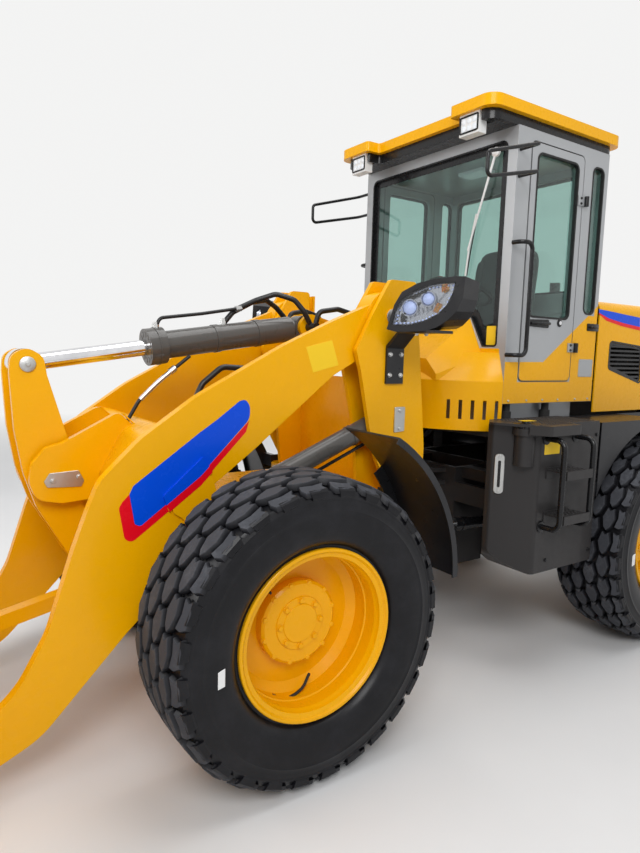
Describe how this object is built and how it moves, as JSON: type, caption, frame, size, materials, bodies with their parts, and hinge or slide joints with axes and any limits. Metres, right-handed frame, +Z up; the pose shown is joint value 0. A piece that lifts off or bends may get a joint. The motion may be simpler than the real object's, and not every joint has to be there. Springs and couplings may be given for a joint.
{
  "type": "wheel loader",
  "caption": "Compact articulated wheel loader with a glazed cab, lifting boom, tilting bucket, steering pivot, opening doors and hood.",
  "frame": {"origin": "on the ground under the middle of the machine's length, on its middle plane", "axes": "+X towards the bucket, +Y to the driver's left, +Z up"},
  "size_m": [5.914, 2.15, 2.88],
  "materials": {
    "tyre": "matte",
    "yellow_paint": "gloss",
    "grey_paint": "gloss",
    "charcoal_paint": "satin",
    "black_paint": "gloss",
    "black_plastic": "gloss",
    "lamp_plastic": "gloss",
    "cast_iron": "rough",
    "chrome": "mirror",
    "glass": "clear",
    "hose_rubber": "satin",
    "clear_lens": "clear",
    "seat_cover": "matte"
  },
  "bodies": {
    "rear_frame": {"rear_frame": "yellow_paint", "cab_deck": "charcoal_paint", "engine_block": "cast_iron", "transmission": "cast_iron", "radiator": "black_paint", "counterweight": "charcoal_paint", "rear_axle": "yellow_paint", "drive_shaft_rear": "black_paint", "cab_frame": "grey_paint", "cab_glass": "glass", "cab_roof": "yellow_paint", "cab_cowl": "yellow_paint", "seat": "seat_cover", "console": "black_plastic", "steering_wheel": "black_plastic", "side_tanks": "charcoal_paint", "side_steps": "charcoal_paint", "rails": "black_paint", "rear_fenders": "black_plastic", "work_lamps": "lamp_plastic", "tail_lamps": "lamp_plastic", "roof_lining": "black_paint"},
    "hood": {"hood": "yellow_paint", "hood_grilles": "black_paint", "exhaust_stack": "black_paint"},
    "door_left": {"door_left": "grey_paint", "door_glass_left": "glass"},
    "door_right": {"door_right": "grey_paint", "door_glass_right": "glass"},
    "front_frame": {"front_frame": "yellow_paint", "front_axle": "yellow_paint", "drive_shaft_front": "black_paint", "front_fenders": "black_plastic", "headlights": "black_plastic", "headlight_lenses": "clear_lens", "frame_hoses": "hose_rubber"},
    "boom": {"boom": "yellow_paint", "boom_pipes": "hose_rubber"},
    "bell_crank": {"bell_crank": "yellow_paint"},
    "bucket": {"bucket": "yellow_paint"},
    "bucket_link": {"bucket_link": "yellow_paint"},
    "tilt_barrel": {"tilt_barrel": "charcoal_paint", "tilt_pipes": "hose_rubber"},
    "tilt_rod": {"tilt_rod": "chrome"},
    "lift_barrel_left": {"lift_barrel_left": "yellow_paint"},
    "lift_rod_left": {"lift_rod_left": "chrome"},
    "steer_barrel_left": {"steer_barrel_left": "black_paint"},
    "steer_rod_left": {"steer_rod_left": "chrome"},
    "wheel_front_left": {"tyre_front_left": "tyre", "rim_front_left": "yellow_paint"},
    "wheel_rear_left": {"tyre_rear_left": "tyre", "rim_rear_left": "yellow_paint"},
    "lift_barrel_right": {"lift_barrel_right": "yellow_paint"},
    "lift_rod_right": {"lift_rod_right": "chrome"},
    "steer_barrel_right": {"steer_barrel_right": "black_paint"},
    "steer_rod_right": {"steer_rod_right": "chrome"},
    "wheel_front_right": {"tyre_front_right": "tyre", "rim_front_right": "yellow_paint"},
    "wheel_rear_right": {"tyre_rear_right": "tyre", "rim_rear_right": "yellow_paint"}
  },
  "joints": [
    {"name": "steer", "type": "hinge", "parent": "rear_frame", "child": "front_frame", "pos_m": [-0.393, 0, 0.69], "axis": [0, 0, 1], "range_deg": [-35, 35]},
    {"name": "wheel_front_left_spin", "type": "hinge", "parent": "front_frame", "child": "wheel_front_left", "pos_m": [0.832, 0.8, 0.58979], "axis": [0, 1, 0], "continuous": true},
    {"name": "wheel_front_right_spin", "type": "hinge", "parent": "front_frame", "child": "wheel_front_right", "pos_m": [0.832, -0.8, 0.58979], "axis": [0, 1, 0], "continuous": true},
    {"name": "wheel_rear_left_spin", "type": "hinge", "parent": "rear_frame", "child": "wheel_rear_left", "pos_m": [-1.618, 0.8, 0.58979], "axis": [0, 1, 0], "continuous": true},
    {"name": "wheel_rear_right_spin", "type": "hinge", "parent": "rear_frame", "child": "wheel_rear_right", "pos_m": [-1.618, -0.8, 0.58979], "axis": [0, 1, 0], "continuous": true},
    {"name": "door_left_open", "type": "hinge", "parent": "rear_frame", "child": "door_left", "pos_m": [-1.108, 0.614, 2], "axis": [0, 0, 1], "range_deg": [0, 95]},
    {"name": "door_right_open", "type": "hinge", "parent": "rear_frame", "child": "door_right", "pos_m": [-1.108, -0.614, 2], "axis": [0, 0, -1], "range_deg": [0, 95]},
    {"name": "hood_open", "type": "hinge", "parent": "rear_frame", "child": "hood", "pos_m": [-1.328, 0, 1.968], "axis": [0, 1, 0], "range_deg": [0, 50]},
    {"name": "boom_lift", "type": "hinge", "parent": "front_frame", "child": "boom", "pos_m": [0.162, 0, 1.8], "axis": [0, -1, 0], "range_deg": [0, 78]},
    {"name": "bucket_tilt", "type": "hinge", "parent": "boom", "child": "bucket", "pos_m": [1.977, 0, 0.2], "axis": [0, 1, 0], "range_deg": [-42, 118]},
    {"name": "bell_crank_swing", "type": "hinge", "parent": "boom", "child": "bell_crank", "pos_m": [1.572, 0, 1.08], "axis": [0, -1, 0], "range_deg": [-11.68, 32.8]},
    {"name": "link_swing", "type": "hinge", "parent": "bucket", "child": "bucket_link", "pos_m": [2.087, 0, 0.425], "axis": [0, -1, 0], "range_deg": [-31.84, 89.44]},
    {"name": "tilt_barrel_swing", "type": "hinge", "parent": "front_frame", "child": "tilt_barrel", "pos_m": [0.337, 0, 1.75], "axis": [0, -1, 0], "range_deg": [0, 84.02]},
    {"name": "tilt_rod_slide", "type": "slide", "parent": "tilt_barrel", "child": "tilt_rod", "axis": [0.9887, 0, -0.1498], "range_m": [-0.26184, 0.0932]},
    {"name": "lift_barrel_left_swing", "type": "hinge", "parent": "front_frame", "child": "lift_barrel_left", "pos_m": [0.107, 0.432, 1.33], "axis": [0, -1, 0], "range_deg": [0, 69.59]},
    {"name": "lift_rod_left_slide", "type": "slide", "parent": "lift_barrel_left", "child": "lift_rod_left", "axis": [0.9258, 0, -0.3779], "range_m": [0, 0.56377]},
    {"name": "lift_barrel_right_swing", "type": "hinge", "parent": "front_frame", "child": "lift_barrel_right", "pos_m": [0.107, -0.432, 1.33], "axis": [0, -1, 0], "range_deg": [0, 69.59]},
    {"name": "lift_rod_right_slide", "type": "slide", "parent": "lift_barrel_right", "child": "lift_rod_right", "axis": [0.9258, 0, -0.3779], "range_m": [0, 0.56377]},
    {"name": "steer_barrel_left_swing", "type": "hinge", "parent": "rear_frame", "child": "steer_barrel_left", "pos_m": [-0.993, 0.455, 0.69], "axis": [0, 0, 1], "range_deg": [-4.17, 4.17]},
    {"name": "steer_rod_left_slide", "type": "slide", "parent": "steer_barrel_left", "child": "steer_rod_left", "axis": [0.9808, -0.1949, 0], "range_m": [-0.19307, 0.19307]},
    {"name": "steer_barrel_right_swing", "type": "hinge", "parent": "rear_frame", "child": "steer_barrel_right", "pos_m": [-0.993, -0.455, 0.69], "axis": [0, 0, 1], "range_deg": [-4.17, 4.17]},
    {"name": "steer_rod_right_slide", "type": "slide", "parent": "steer_barrel_right", "child": "steer_rod_right", "axis": [0.9808, 0.1949, 0], "range_m": [-0.19307, 0.19307]}
  ],
  "couplings": [
    {"joint": "bell_crank_swing", "follows": "bucket_tilt", "ratio": 0.278},
    {"joint": "link_swing", "follows": "bucket_tilt", "ratio": 0.758},
    {"joint": "tilt_barrel_swing", "follows": "boom_lift", "ratio": 1.0771},
    {"joint": "tilt_rod_slide", "follows": "bucket_tilt", "m_per_rad": -0.12713},
    {"joint": "lift_barrel_left_swing", "follows": "boom_lift", "ratio": 0.8922},
    {"joint": "lift_rod_left_slide", "follows": "boom_lift", "m_per_rad": 0.41411},
    {"joint": "lift_barrel_right_swing", "follows": "boom_lift", "ratio": 0.8922},
    {"joint": "lift_rod_right_slide", "follows": "boom_lift", "m_per_rad": 0.41411},
    {"joint": "steer_barrel_left_swing", "follows": "steer", "ratio": 0.11901},
    {"joint": "steer_rod_left_slide", "follows": "steer", "m_per_rad": -0.31604},
    {"joint": "steer_barrel_right_swing", "follows": "steer", "ratio": 0.11901},
    {"joint": "steer_rod_right_slide", "follows": "steer", "m_per_rad": 0.31604}
  ]
}
